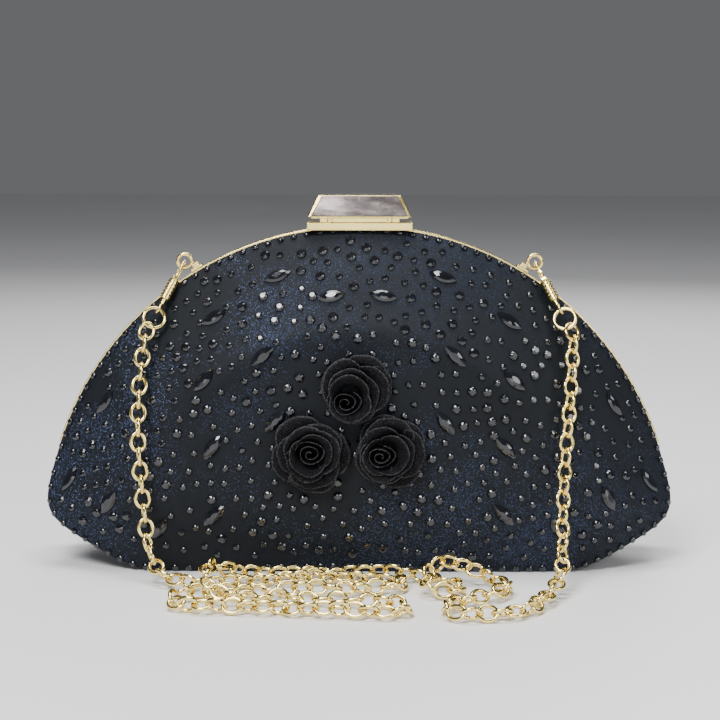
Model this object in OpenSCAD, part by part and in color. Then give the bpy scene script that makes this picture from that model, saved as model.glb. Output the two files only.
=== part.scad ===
// Half-moon evening bag: two hard covered shells in a gold arc frame that opens on side hinges,
// a press clasp on top, and a chain that hangs from snap hooks on two ears.
// Origin: centre of the flat base. +X is to the right, -Y to the front and +Z up. Millimetres.

/* [Body] */
// Radius of the frame's arc
frame_r = 113; // [100:1:125]
// Height of the arc's centre above the base
arc_z = 7; // [4:1:12]
// Depth of one half from the parting plane to its fullest point
half_depth = 27; // [24:1:32]
// Height of the hinge axis
hinge_z = 37.6; // [34:0.1:42]
// Half-width of the flat base
base_half_w = 78; // [70:1:84]
// Angle of the slanted ends of the base
base_slant = 28; // [20:0.2:32]

/* [Layers] */
// Thickness of the fabric cover
cover_t = 0.6; // [0.4:0.1:1]
// Thickness of the moulded shell
shell_t = 1.4; // [1:0.1:2]
// Thickness of the satin lining
lining_t = 0.6; // [0.4:0.1:1]

/* [Frame] */
// Width of one gold frame half, front to back
frame_w = 4; // [3:0.1:5]
// Thickness of the frame's metal
frame_t = 1.4; // [1:0.1:2]
// Depth of the frame's inner flange
flange_d = 7; // [5:0.5:9]
// Radius of the hinge pins
pin_r = 0.8; // [0.7:0.1:1]

/* [Clasp] */
// Length of the clasp's ingot
ingot_l = 36; // [34:1:42]
// Length of the ingot's flat top
ingot_top_l = 29; // [26:1:34]
// Depth of the ingot, front to back
ingot_d = 17; // [15:1:20]
// Height of the top of the ingot
ingot_top_z = 131; // [129:0.5:133]
// How far the ingot travels when it is pressed
press_travel = 1.2; // [0.8:0.1:1.3]

/* [Chain] */
// Outer width of the chain
chain_d = 5.8; // [5:0.1:6.5]
// Wire thickness of the rings at the chain's ends
ring_wire = 1.3; // [1:0.1:1.5]
// Outer diameter of those rings
ring_od = 8.7; // [8:0.1:9.5]

/* [Stones] */
// Length of a pointed-oval stone
navette_l = 10; // [8:0.5:12]
// Width of a pointed-oval stone
navette_w = 4.5; // [3.5:0.5:5.5]
// Diameter of a large round stone
round_d = 3.6; // [2.8:0.2:4.2]
// Diameter of a fabric rose
rose_d = 23.8; // [20:0.2:24]

/* [Hidden] */
$fn = 48;

gold = [0.93, 0.82, 0.55];
black_cloth = [0.07, 0.08, 0.11];
satin = [0.12, 0.12, 0.14];
board = [0.35, 0.33, 0.30];
jet = [0.03, 0.03, 0.05];
smoky = [0.45, 0.42, 0.42];

gap = 0.1;                 // between layers that lie on each other
parting = 0.25;            // from the parting plane to each frame half
edge_depth = frame_w + parting + 0.1 + cover_t + 0.3;   // the cover's rim, from the parting plane
flare = 0.47;              // how fast the rim opens out below the hinge
hub_z = 40;                // the rays that lay out the shell start here
top_slope = 38;            // width of the slope inside the arc
base_slope = 14;           // height of the curve above the base
dome = 1.5;                // extra fullness in the middle
corner = 24;               // sharpness of the outline's corners
frame_start = 18.5;        // angle above horizontal where the frame's arc ends

shell_inset = cover_t + gap;
lining_inset = shell_inset + shell_t + gap;

// ---- the outline, as the distance from the hub along a ray in the XZ plane ----

function arc_reach(dir, inset) =
    let (m = [0, hub_z - arc_z], b = m * dir, r = frame_r - 0.6 - inset)
    -b + sqrt(b * b - m * m + r * r);

function plane_reach(dir, normal, limit) =
    let (rate = dir * normal)
    rate > 0.01 ? (limit - [0, hub_z] * normal) / rate : 1e5;

function outline_reach(phi, inset) =
    let (
        dir = [abs(cos(phi)), sin(phi)],
        slant = [sin(base_slant), -cos(base_slant)],
        arc = arc_reach(dir, inset),
        side = plane_reach(dir, slant, base_half_w * sin(base_slant) - inset),
        base = plane_reach(dir, [0, -1], -inset)
    )
    pow(pow(arc, -corner) + pow(side, -corner) + pow(base, -corner), -1 / corner);

// Depth of the rim below the parting plane at height z
function rim_depth(z, inset) = edge_depth - inset + flare * max(0, hinge_z - z);

// 0 towards the top and sides, 1 straight down
function lowness(phi) = pow(max(0, -sin(phi)), 1.5);

function mix(a, b, share) = a + (b - a) * share;

// Point of a front layer: phi is the ray's angle, s runs from 0 at the hub to 1 at the rim
function shell_point(phi, s, inset) =
    let (
        reach = outline_reach(phi, inset),
        slope = mix(top_slope, base_slope, lowness(phi)),
        power = mix(1.45, 2.2, lowness(phi)),
        rim = rim_depth(hub_z + reach * sin(phi), inset),
        share = max(0, (s * reach - reach + slope) / slope),
        full = half_depth - inset - dome * s * s
    )
    [s * reach * cos(phi), -(rim + (full - rim) * (1 - pow(share, power))), hub_z + s * reach * sin(phi)];

// The point of the cover in front of a place (x, z), and its outward direction
function ray_angle(x, z) = atan2(z - hub_z, x);
function cover_point(x, z) =
    let (phi = ray_angle(x, z))
    shell_point(phi, norm([x, z - hub_z]) / outline_reach(phi, 0), 0);
function cover_normal(x, z) =
    let (
        a = cover_point(x + 1, z) - cover_point(x - 1, z),
        b = cover_point(x, z + 1) - cover_point(x, z - 1),
        n = cross(a, b)
    )
    n[1] > 0 ? -n / norm(n) : n / norm(n);

// ---- layers of the body ----

right_rays = concat([for (a = [-85:10:-45]) a], [for (a = [-38:4:-2]) a], [for (a = [4:8:84]) a]);
rays = concat(right_rays, [90], [for (i = [len(right_rays) - 1:-1:0]) 180 - right_rays[i]], [-90]);
rings = [0.2, 0.42, 0.56, 0.68, 0.79, 0.88, 0.95, 1];

// One closed layer of the front half, between two insets from the cover's outside
module layer(outer, inner) {
    n = len(rays);
    m = len(rings);
    function skin(inset) = concat(
        [for (s = rings) for (phi = rays) shell_point(phi, s, inset)],
        [shell_point(90, 0, inset)]
    );
    size = n * m + 1;
    function quads(start, flip) = [
        for (j = [0:m - 2]) for (i = [0:n - 1])
            let (k = (i + 1) % n, a = start + j * n + i, b = start + j * n + k, c = b + n, d = a + n)
            for (tri = [[a, b, c], [a, c, d]]) flip ? [tri[2], tri[1], tri[0]] : tri
    ];
    function cap(start, flip) = [
        for (i = [0:n - 1])
            let (a = start + i, b = start + (i + 1) % n, hub = start + n * m)
            flip ? [b, a, hub] : [a, b, hub]
    ];
    rim = (m - 1) * n;
    edge = [
        for (i = [0:n - 1])
            let (a = rim + i, b = rim + (i + 1) % n, c = b + size, d = a + size)
            for (tri = [[a, b, c], [a, c, d]]) tri
    ];
    polyhedron(
        concat(skin(outer), skin(inner)),
        concat(quads(0, false), cap(0, true), edge, quads(size, true), cap(size, false))
    );
}

module front_cover() { color(black_cloth) layer(0, cover_t); }
module rear_cover() { color(black_cloth) mirror([0, 1, 0]) layer(0, cover_t); }
module front_shell() { color(board) layer(shell_inset, shell_inset + shell_t); }
module rear_shell() { color(board) mirror([0, 1, 0]) layer(shell_inset, shell_inset + shell_t); }
module front_lining() { color(satin) layer(lining_inset, lining_inset + lining_t); }
module rear_lining() { color(satin) mirror([0, 1, 0]) layer(lining_inset, lining_inset + lining_t); }

// ---- soft panels between the halves ----

base_gusset_w = 2 * (rim_depth(0, cover_t) - 0.6);
gusset_t = 0.8;

module base_gusset() {
    color(black_cloth)
    translate([-base_half_w + 2, -base_gusset_w / 2, 0])
    cube([2 * base_half_w - 4, base_gusset_w, gusset_t]);
}

// Follows the outline up one end, from the base to just below the hinge
gusset_rays = [-27.5:2.5:-5];
module side_gusset() {
    function section(phi) = [
        for (inset = [0.5, 0.5 + gusset_t]) for (side = [-1, 1])
            let (reach = outline_reach(phi, inset), z = hub_z + reach * sin(phi))
            [reach * cos(phi), side * (rim_depth(z, cover_t) - 0.95), z]
    ];
    points = [for (phi = gusset_rays) for (p = section(phi)) p];
    last = len(points) - 4;
    walls = [[0, 1], [1, 3], [3, 2], [2, 0]];
    polyhedron(points, concat(
        [[0, 2, 3, 1], [last, last + 1, last + 3, last + 2]],
        [
            for (k = [0:4:last - 4]) for (w = walls)
                for (tri = [
                    [k + w[0], k + w[1], k + w[1] + 4],
                    [k + w[0], k + w[1] + 4, k + w[0] + 4]
                ]) tri
        ]
    ));
}
module right_side_gusset() { color(black_cloth) side_gusset(); }
module left_side_gusset() { color(black_cloth) mirror([1, 0, 0]) side_gusset(); }

// Arc pieces are turned about the frame's centre, in the XZ plane
module on_arc() { translate([0, 0, arc_z]) rotate([90, 0, 0]) children(); }

// Folded V of lining fabric between the frame halves, above each hinge
module inner_gusset() {
    color(satin) on_arc() rotate([0, 0, 22]) rotate_extrude(angle = 26)
    polygon([
        [frame_r - 8, 1.5], [frame_r - 8, 0.9], [frame_r - 25, 0],
        [frame_r - 8, -0.9], [frame_r - 8, -1.5], [frame_r - 27, 0]
    ]);
}
module right_inner_gusset() { inner_gusset(); }
module left_inner_gusset() { mirror([1, 0, 0]) inner_gusset(); }

module slip_pocket() {
    color(satin) translate([-45, half_depth - 6.4, 16]) cube([90, 1.2, 38]);
}

// ---- gold frame and its hinges ----

hinge_x = 102.6;           // inner side of the front hinge leaf
leaf_t = 1.2;
leaf_r = 2.3;
leaf_gap = 0.3;
arm_top = hinge_z + 7;        // inside the flange's end

// L-section arc: the outer band, and the flange along the parting plane
module frame_arc() {
    on_arc() rotate([0, 0, frame_start]) rotate_extrude(angle = 180 - 2 * frame_start, $fn = 180)
    polygon([
        [frame_r - flange_d, parting], [frame_r, parting], [frame_r, parting + frame_w],
        [frame_r - frame_t, parting + frame_w], [frame_r - frame_t, parting + frame_t],
        [frame_r - flange_d, parting + frame_t]
    ]);
}

// Leaf around the hinge pin, with the arm that joins it to the end of the front half's flange
module hinge_leaf(x) {
    difference() {
        union() {
            translate([x, 0, hinge_z]) rotate([0, 90, 0]) cylinder(r = leaf_r, h = leaf_t);
            translate([x, -parting - frame_t + 0.15, hinge_z])
            cube([leaf_t, frame_t - 0.3, arm_top - hinge_z]);
        }
        children();
    }
}

module frame_half(x, bore_r) {
    frame_arc();
    for (side = [0, 1]) mirror([side, 0, 0]) hinge_leaf(x)
        translate([x - 1, 0, hinge_z]) rotate([0, 90, 0]) cylinder(r = bore_r, h = leaf_t + 2);
}

module front_frame() { color(gold) frame_half(hinge_x, pin_r + 0.01); }
module rear_frame() {
    color(gold) mirror([0, 1, 0]) frame_half(hinge_x + leaf_t + leaf_gap, pin_r + 0.05);
}

module hinge_pins() {
    color(gold) for (side = [0, 1]) mirror([side, 0, 0]) translate([0, 0, hinge_z]) rotate([0, 90, 0]) {
        translate([0, 0, hinge_x - 0.6]) cylinder(r = pin_r, h = 2 * leaf_t + leaf_gap + 1.1);
        translate([0, 0, hinge_x - 0.6]) cylinder(r = 1.4, h = 0.5);
        translate([0, 0, hinge_x + 2 * leaf_t + leaf_gap + 0.1]) cylinder(r = 1.4, h = 0.5);
    }
}

// ---- press clasp ----

saddle_top = arc_z + frame_r + 1.1;
saddle_l = ingot_l + 1;
saddle_d = 8.2;            // from the parting plane to the saddle's front
saddle_bottom = arc_z + frame_r - 1.6;
skirt_z = saddle_top + press_travel + 0.2;
ingot_z = skirt_z + 0.6;    // lower edge of the ingot's slanted sides
post_x = 10.5;
post_r = 2.6;
post_top = saddle_top + 4.4;
cavity_top = post_top + press_travel + 1;
tooth_r = 0.9;
plinth_l = ingot_l - 8;     // low wall that closes the gap under the ingot

// Saddle on one frame half: a top plate over the arc and a lip in front of its edge, undercut below
module saddle() {
    difference() {
        translate([-saddle_l / 2, -saddle_d, saddle_bottom])
        cube([saddle_l, saddle_d - parting, saddle_top - saddle_bottom]);
        translate([0, 1, arc_z]) rotate([90, 0, 0]) cylinder(r = frame_r + 0.05, h = saddle_d - 0.5, $fn = 180);
        translate([-saddle_l, -saddle_d, saddle_bottom - 0.3]) rotate([49, 0, 0])
        translate([0, -3, -3]) cube([2 * saddle_l, 4.2, 3]);
    }
}

module clasp_base() {
    color(gold) {
        saddle();
        for (side = [-1, 1]) translate([side * post_x, -post_r - 0.5, saddle_top - 0.2])
            cylinder(r = post_r, h = post_top - saddle_top + 0.2);
        translate([-plinth_l / 2, -5.5, saddle_top - 0.2]) cube([plinth_l, 0.8, 2.6]);
    }
}

// Hipped block with its lower face at z0 and its top at z1
function hip(l0, d0, l1, d1, z0, z1) = [
    for (level = [[l0, d0, z0], [l1, d1, z1]])
        for (c = [[-1, -1], [1, -1], [1, 1], [-1, 1]])
            [c[0] * level[0] / 2, c[1] * level[1] / 2, level[2]]
];
ingot_points = hip(ingot_l, ingot_d, ingot_top_l, ingot_d - 7, ingot_z, ingot_top_z - 0.5);
ingot_sides = [[4, 5, 1, 0], [5, 6, 2, 1], [6, 7, 3, 2], [7, 4, 0, 3], [7, 6, 5, 4]];

module clasp_ingot() {
    color(gold) {
        difference() {
            union() {
                polyhedron(ingot_points, concat([[0, 1, 2, 3]], ingot_sides));
                translate([-ingot_l / 2 + 1, -ingot_d / 2 + 1, skirt_z])
                cube([ingot_l - 2, ingot_d - 2, ingot_z - skirt_z + 0.3]);
            }
            translate([-ingot_l / 2 + 3.5, -5.9, skirt_z - 1])
            cube([ingot_l - 7, 11.8, cavity_top - skirt_z + 1]);
        }
        translate([0, -2, skirt_z]) cylinder(r = tooth_r, h = cavity_top - skirt_z + 0.3);
    }
}

// A flat stone set on one face of the ingot, a border's width in from its edges
module facet_stone(corners, border, thickness) {
    middle = (corners[0] + corners[1] + corners[2] + corners[3]) / 4;
    across = cross(corners[3] - corners[0], corners[1] - corners[0]);
    out = across / norm(across);
    function pulled(p) = p + (middle - p) / norm(middle - p) * border;
    ring = [for (p = corners) pulled(p) + out * 0.02];
    outer = [for (p = corners) p + (middle - p) / norm(middle - p) * (border + 0.4) + out * thickness];
    polyhedron(concat(ring, outer), [
        [3, 2, 1, 0], [4, 5, 6, 7], [0, 1, 5, 4], [1, 2, 6, 5], [2, 3, 7, 6], [3, 0, 4, 7]
    ]);
}

module clasp_crystals() {
    color(smoky) for (side = ingot_sides)
        facet_stone([for (i = side) ingot_points[i]], 1.1, 0.45);
}

module clasp_springs() {
    color("silver") for (side = [-1, 1])
        translate([side * post_x, -post_r - 0.5, post_top + 0.05]) difference() {
            cylinder(r = 2, h = cavity_top - post_top - 0.1);
            translate([0, 0, -1]) cylinder(r = 1.5, h = 6);
        }
}

module catch_base() { color(gold) mirror([0, 1, 0]) saddle(); }

// Flat tongue of the rear half, which reaches forward over the front saddle
module catch_tongue() {
    tongue_z = saddle_top + 0.15;
    color("silver") difference() {
        union() {
            translate([-4, -4.5, tongue_z]) cube([8, 10, 0.7]);
            translate([-4, 3, saddle_top]) cube([8, 2.5, 0.3]);
        }
        translate([0, -2, tongue_z - 1]) cylinder(r = tooth_r + 0.4, h = 3);
    }
}

// ---- ears, snap hooks and rings ----

ear_angle = 31.6;            // from vertical
ear_ring_r = 2.45;
ear_wire = 0.6;
ear_y = -4.2;
ear_lift = 4.8;            // ring centre above the arc
hook_lean = 27;            // the hanging hook, from vertical
hook_tilt = 28;            // and forward from the body
claw_r = 2.2;
claw_wire = 0.6;
claw_length = 5.3;
barrel_r = 1.7;
barrel_start = 5.8;
barrel_end = 13.8;
gate_angle = 22;
swivel_r = 0.8;
eye_r = 1.6;
eye_wire = 0.55;
ring_at = 21.6;              // ring centre, along the hook
eye_at = ring_at - (ring_od - ring_wire) / 2 - 0.15;

ear_centre = [
    (frame_r + ear_lift) * sin(ear_angle), ear_y, arc_z + (frame_r + ear_lift) * cos(ear_angle)
];

module torus(r, wire) { rotate_extrude() translate([r, 0]) circle(r = wire, $fn = 24); }

module ear() {
    color(gold) {
        translate(ear_centre) rotate([90, 0, 0]) torus(ear_ring_r, ear_wire);
        translate([0, 0, arc_z]) rotate([0, ear_angle - 1.2, 0]) {
            translate([-2.2, ear_y - 0.9, frame_r + 0.02]) cube([4.4, 4.6, 1]);
            translate([-1.4, ear_y - 0.7, frame_r + 0.9]) cube([2.4, 1.4, 1.6]);
        }
    }
}
module right_ear() { ear(); }
module left_ear() { mirror([1, 0, 0]) ear(); }

// Hook frame: the origin on the ear's wire, local -Z along the hanging hook, local X the swing axis
module at_right_hook() {
    translate(ear_centre + ear_ring_r * [sin(hook_lean), 0, -cos(hook_lean)])
    rotate([0, -hook_lean, 0]) rotate([-hook_tilt, 0, 0]) children();
}
module at_left_hook() { mirror([1, 0, 0]) at_right_hook() children(); }

// Straight wire down the hook, between two distances from the swing axis
module hook_wire(y, from, to, r) { translate([0, y, -to]) cylinder(r = r, h = to - from, $fn = 24); }

module hook_body() {
    rotate([0, 90, 0]) rotate([0, 0, 90]) rotate_extrude(angle = 200) translate([claw_r, 0])
    circle(r = claw_wire, $fn = 24);
    hook_wire(claw_r, 0, claw_length, claw_wire);
    translate([-0.9, -claw_r - 0.4, -barrel_start - 0.2]) cube([1.8, 2 * claw_r + 0.6, 1]);
    difference() {
        union() {
            hook_wire(0, barrel_start, barrel_end, barrel_r);
            for (k = [0:4]) hook_wire(0, barrel_start + 0.8 + 1.4 * k, barrel_start + 1.6 + 1.4 * k, barrel_r + 0.2);
        }
        hook_wire(0, barrel_end - 4, barrel_end + 1, swivel_r + 0.05);
        hook_wire(0, barrel_end - 4, barrel_end - 2.6, 1.25);
    }
}

// Lever that closes the front of the claw, with its thumb tab
module hook_gate() {
    hook_wire(-claw_r, 1.3, claw_length - 0.55, claw_wire - 0.05);
    translate([-0.5, -claw_r - 1.6, -3.6]) cube([1, 1.4, 1.1]);
}

module swivel_eye() {
    hook_wire(0, barrel_end - 2.7, eye_at - eye_r, swivel_r);
    hook_wire(0, barrel_end - 3.8, barrel_end - 2.8, 1.15);
    hook_wire(0, barrel_end - 2.9, barrel_end - 2.6, swivel_r);
    translate([0, 0, -eye_at]) rotate([0, 90, 0]) torus(eye_r, eye_wire);
}

module chain_ring() {
    translate([0, 0, -ring_at]) rotate([90, 0, 0]) torus((ring_od - ring_wire) / 2, ring_wire / 2);
}

module right_hook() { color(gold) at_right_hook() hook_body(); }
module left_hook() { color(gold) at_left_hook() hook_body(); }
module right_gate() { color(gold) at_right_hook() hook_gate(); }
module left_gate() { color(gold) at_left_hook() hook_gate(); }
module right_swivel_eye() { color(gold) at_right_hook() swivel_eye(); }
module left_swivel_eye() { color(gold) at_left_hook() swivel_eye(); }
module right_ring() { color(gold) at_right_hook() chain_ring(); }
module left_ring() { color(gold) at_left_hook() chain_ring(); }

// ---- roses ----

// Faces a child's +Z along the cover's outward direction at (x, z)
module on_cover(x, z, turn) {
    n = cover_normal(x, z);
    translate(cover_point(x, z))
    rotate([0, acos(n[2]), atan2(n[1], n[0])])
    rotate([0, 0, turn]) children();
}

// Rolled rose: a backing disc, and petal cups one inside the other
module rose(x, z) {
    r = rose_d / 2;
    color(black_cloth) on_cover(x, z, 0) {
        cylinder(r = r * 0.6, h = 1);
        for (cup = [[1, 2.2, 0.5], [0.8, 4.6, 0.42], [0.58, 6.6, 0.3], [0.36, 8, 0.18]])
            rotate_extrude() polygon([
                [r * cup[2], 0.4], [r * cup[2] + 0.8, 0.4], [r * cup[0], cup[1]],
                [r * cup[0] - 0.7, cup[1] + 0.6]
            ]);
        cylinder(r1 = r * 0.12, r2 = r * 0.2, h = 8);
    }
}
rose_places = [[-1, 65.5], [-17, 43], [11, 44.5]];
module rose_top() { rose(rose_places[0][0], rose_places[0][1]); }
module rose_left() { rose(rose_places[1][0], rose_places[1][1]); }
module rose_right() { rose(rose_places[2][0], rose_places[2][1]); }

// ---- stones ----

// Distance from the arc's centre, angle from vertical and tilt of each pair of pointed stones
navette_spots = [
    [100, 17, 22], [90, 6, 18], [96, 32, 36], [77, 25, 40], [81, 41, 45], [103, 60, 55],
    [55, 32, 52], [63, 53, 52], [105, 77, 62], [89, 78, 58], [52, 74, 45], [70, 83, 55]
];

module navette() {
    lens_r = (navette_l * navette_l + navette_w * navette_w) / (4 * navette_w);
    translate([0, 0, -0.3]) linear_extrude(1.5) intersection_for (side = [-1, 1])
        translate([0, side * (lens_r - navette_w / 2)]) circle(r = lens_r);
}

// The turn that lays local X at a slope of tilt degrees on the cover
function slope_turn(x, z, tilt) =
    let (
        n = cover_normal(x, z),
        yaw = atan2(n[1], n[0]),
        lean = acos(n[2]),
        local_x = [cos(yaw) * cos(lean), sin(yaw) * cos(lean), -sin(lean)],
        local_y = [-sin(yaw), cos(yaw), 0],
        wanted = [cos(tilt), 0, sin(tilt)]
    )
    atan2(wanted * local_y, wanted * local_x);

module navettes() {
    for (spot = navette_spots) for (side = [-1, 1]) {
        x = side * spot[0] * sin(spot[1]);
        z = arc_z + spot[0] * cos(spot[1]);
        on_cover(x, z, slope_turn(x, z, -side * spot[2])) navette();
    }
}
module front_navettes() { color(jet) navettes(); }
module rear_navettes() { color(jet) mirror([0, 1, 0]) navettes(); }

// Large round stones on rings about the arc's centre
stone_rings = [107.5, 94, 84, 70, 58, 45, 34];
module round_stones() {
    for (k = [0:len(stone_rings) - 1]) {
        r = stone_rings[k];
        count = floor(r / 8);
        for (i = [0:count]) {
            a = -86 + (k % 2) * 86 / count + i * 172 / count;
            x = r * sin(a);
            z = arc_z + r * cos(a);
            in_cover = norm([x, z - hub_z]) / outline_reach(ray_angle(x, z), 0) < 0.97;
            near = min([
                for (spot = navette_spots)
                    norm([abs(x) - spot[0] * sin(spot[1]), z - arc_z - spot[0] * cos(spot[1])])
            ]);
            if (in_cover && near > 6.9 && norm([x + 3, z - 51]) > 30)
                on_cover(x, z, 0) translate([0, 0, -0.3]) cylinder(d = round_d, h = 1.4, $fn = 8);
        }
    }
}
module front_round_stones() { color(jet) round_stones(); }
module rear_round_stones() { color(jet) mirror([0, 1, 0]) round_stones(); }

// ---- chain, laid out as plain tubes along its route ----

chain_r = chain_d / 2;
left_drop_route = [
    [-74.2, -17.9, 82.2], [-75.5, -22.5, 70], [-75.8, -26.5, 60], [-75.8, -29.3, 50],
    [-75.2, -30.8, 40], [-74, -32, 26], [-72.5, -34, 15], [-70.5, -38.5, 7], [-65.5, -45, 3.2],
    [-57, -50, 3]
];
right_drop_route = [
    [74, -17.9, 82.2], [73.2, -22.5, 70], [72.2, -26.5, 60], [71.2, -29.5, 50], [70.4, -31.5, 40],
    [69.5, -35, 28], [68.8, -41.5, 17], [67.5, -51, 8.5], [64.5, -62, 3.8], [60, -70, 3]
];
heap_route = [
    [-55.2, -50.1, 3], [-47, -50.5, 3], [-33, -46, 3], [-19, -42, 3], [-5, -40.5, 3], [8, -42, 3],
    [16, -47, 3], [14, -54, 3], [4, -56, 3], [-10, -55, 3], [-24, -57, 3], [-38, -60, 3],
    [-52, -60.5, 3], [-61, -65, 3], [-60, -73, 3], [-51, -77.5, 3], [-38, -78, 3], [-24, -79, 3],
    [-11, -80.5, 3], [0, -83, 3], [10, -85, 3], [17, -81, 3], [15, -74, 3], [6, -72, 3],
    [-5, -70, 3], [-18, -68, 3], [-32, -69, 3], [-44, -69.5, 4], [-51, -64, 8.5], [-50, -56, 9.6],
    [-48, -48, 8.8], [-42, -40.5, 5], [-32, -37, 3], [-20, -34.8, 3], [-8, -34, 3], [4, -34, 3],
    [16, -36.5, 3], [26, -42, 3], [33, -49, 3], [34, -57, 3], [29, -62.5, 3], [22, -60, 3],
    [21, -53, 4.5], [25, -46, 8.7], [32, -41.5, 9], [40, -40.5, 4.5], [48, -44, 3], [51.5, -51, 3],
    [48, -58, 3], [42, -64, 3], [35, -69.5, 3], [28, -75, 3], [26, -82, 3], [32, -87.5, 3],
    [42, -86.5, 3], [50, -82, 3], [56, -77, 3], [59.2, -71.6, 3]
];

// Direction of a route at point i
function heading(route, i) =
    let (d = route[min(i + 1, len(route) - 1)] - route[max(i - 1, 0)]) d / norm(d);

// level is a direction that the route never runs along; it keeps the tube from twisting
module tube(route, r, level, sides = 8) {
    n = len(route);
    function ring(i) =
        let (
            t = heading(route, i),
            u = cross(t, level),
            across = u / norm(u),
            up = cross(across, t)
        )
        [
            for (k = [0:sides - 1])
                let (a = 360 * (k + 0.5) / sides)
                route[i] + r * (across * cos(a) + up * sin(a))
        ];
    polyhedron([for (i = [0:n - 1]) for (p = ring(i)) p], concat(
        [[for (k = [0:sides - 1]) k], [for (k = [sides - 1:-1:0]) (n - 1) * sides + k]],
        [
            for (i = [0:n - 2]) for (k = [0:sides - 1])
                let (a = i * sides + k, b = i * sides + (k + 1) % sides)
                for (tri = [[a, a + sides, b], [b, a + sides, b + sides]]) tri
        ]
    ));
}

module chain_left_drop() { color(gold) tube(left_drop_route, chain_r, [0, 1, 0]); }
module chain_heap() { color(gold) tube(heap_route, chain_r, [0, 0, 1]); }
module chain_right_drop() { color(gold) tube(right_drop_route, chain_r, [0.8, 0.6, 0]); }

front_frame();
rear_frame();
hinge_pins();
front_shell();
rear_shell();
front_cover();
rear_cover();
front_lining();
rear_lining();
base_gusset();
left_side_gusset();
right_side_gusset();
left_inner_gusset();
right_inner_gusset();
slip_pocket();
clasp_base();
clasp_ingot();
clasp_crystals();
clasp_springs();
catch_base();
catch_tongue();
left_ear();
right_ear();
left_hook();
right_hook();
left_gate();
right_gate();
left_swivel_eye();
right_swivel_eye();
left_ring();
right_ring();
rose_top();
rose_left();
rose_right();
front_navettes();
rear_navettes();
front_round_stones();
rear_round_stones();
chain_left_drop();
chain_heap();
chain_right_drop();
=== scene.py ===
"""The looks of the half-moon evening bag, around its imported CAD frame.

Lengths are in millimetres until they become meshes, lights or cameras, which are in metres.
"""

import math
import random

import bpy
import numpy as np
from mathutils import Matrix, Vector


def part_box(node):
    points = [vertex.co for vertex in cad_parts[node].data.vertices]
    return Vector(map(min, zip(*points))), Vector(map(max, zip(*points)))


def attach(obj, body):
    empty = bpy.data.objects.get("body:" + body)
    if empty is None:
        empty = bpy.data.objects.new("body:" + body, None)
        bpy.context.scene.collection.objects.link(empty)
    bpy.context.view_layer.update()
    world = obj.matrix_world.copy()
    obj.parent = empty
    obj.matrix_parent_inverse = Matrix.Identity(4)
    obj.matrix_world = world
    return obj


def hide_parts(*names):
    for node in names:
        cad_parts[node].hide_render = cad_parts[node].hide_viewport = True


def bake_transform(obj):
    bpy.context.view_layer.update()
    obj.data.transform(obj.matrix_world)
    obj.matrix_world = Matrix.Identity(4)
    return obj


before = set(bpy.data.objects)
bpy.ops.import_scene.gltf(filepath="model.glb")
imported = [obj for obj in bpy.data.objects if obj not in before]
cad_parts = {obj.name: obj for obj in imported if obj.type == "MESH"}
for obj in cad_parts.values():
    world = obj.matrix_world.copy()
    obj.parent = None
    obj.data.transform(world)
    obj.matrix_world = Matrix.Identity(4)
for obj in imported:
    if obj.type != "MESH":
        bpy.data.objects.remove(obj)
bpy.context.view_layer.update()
MM = 0.001

# ---- driving sizes, the same as the CAD model's ----

FRAME_R = 113
ARC_Z = 7
HALF_DEPTH = 27
HINGE_Z = 37.6
BASE_HALF_W = 78
BASE_SLANT = math.radians(28)
EDGE_DEPTH = 5.25
FLARE = 0.47
HUB_Z = 40
TOP_SLOPE = 38
BASE_SLOPE = 14
DOME = 1.5
CORNER = 24
COVER_T = 0.6
LINING_INSET = 2.2
LINING_T = 0.6
RING_WIRE = 1.3
ROSES = {"rose_top": (-1, 65.5), "rose_left": (-17, 43), "rose_right": (11, 44.5)}
# Distance from the arc's centre, angle from vertical and tilt of each pair of pointed stones
NAVETTES = [
    (100, 17, 22), (90, 6, 18), (96, 32, 36), (77, 25, 40), (81, 41, 45), (103, 60, 55),
    (55, 32, 52), (63, 53, 52), (105, 77, 62), (89, 78, 58), (52, 74, 45), (70, 83, 55),
]


# ---- node material helpers ----


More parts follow.
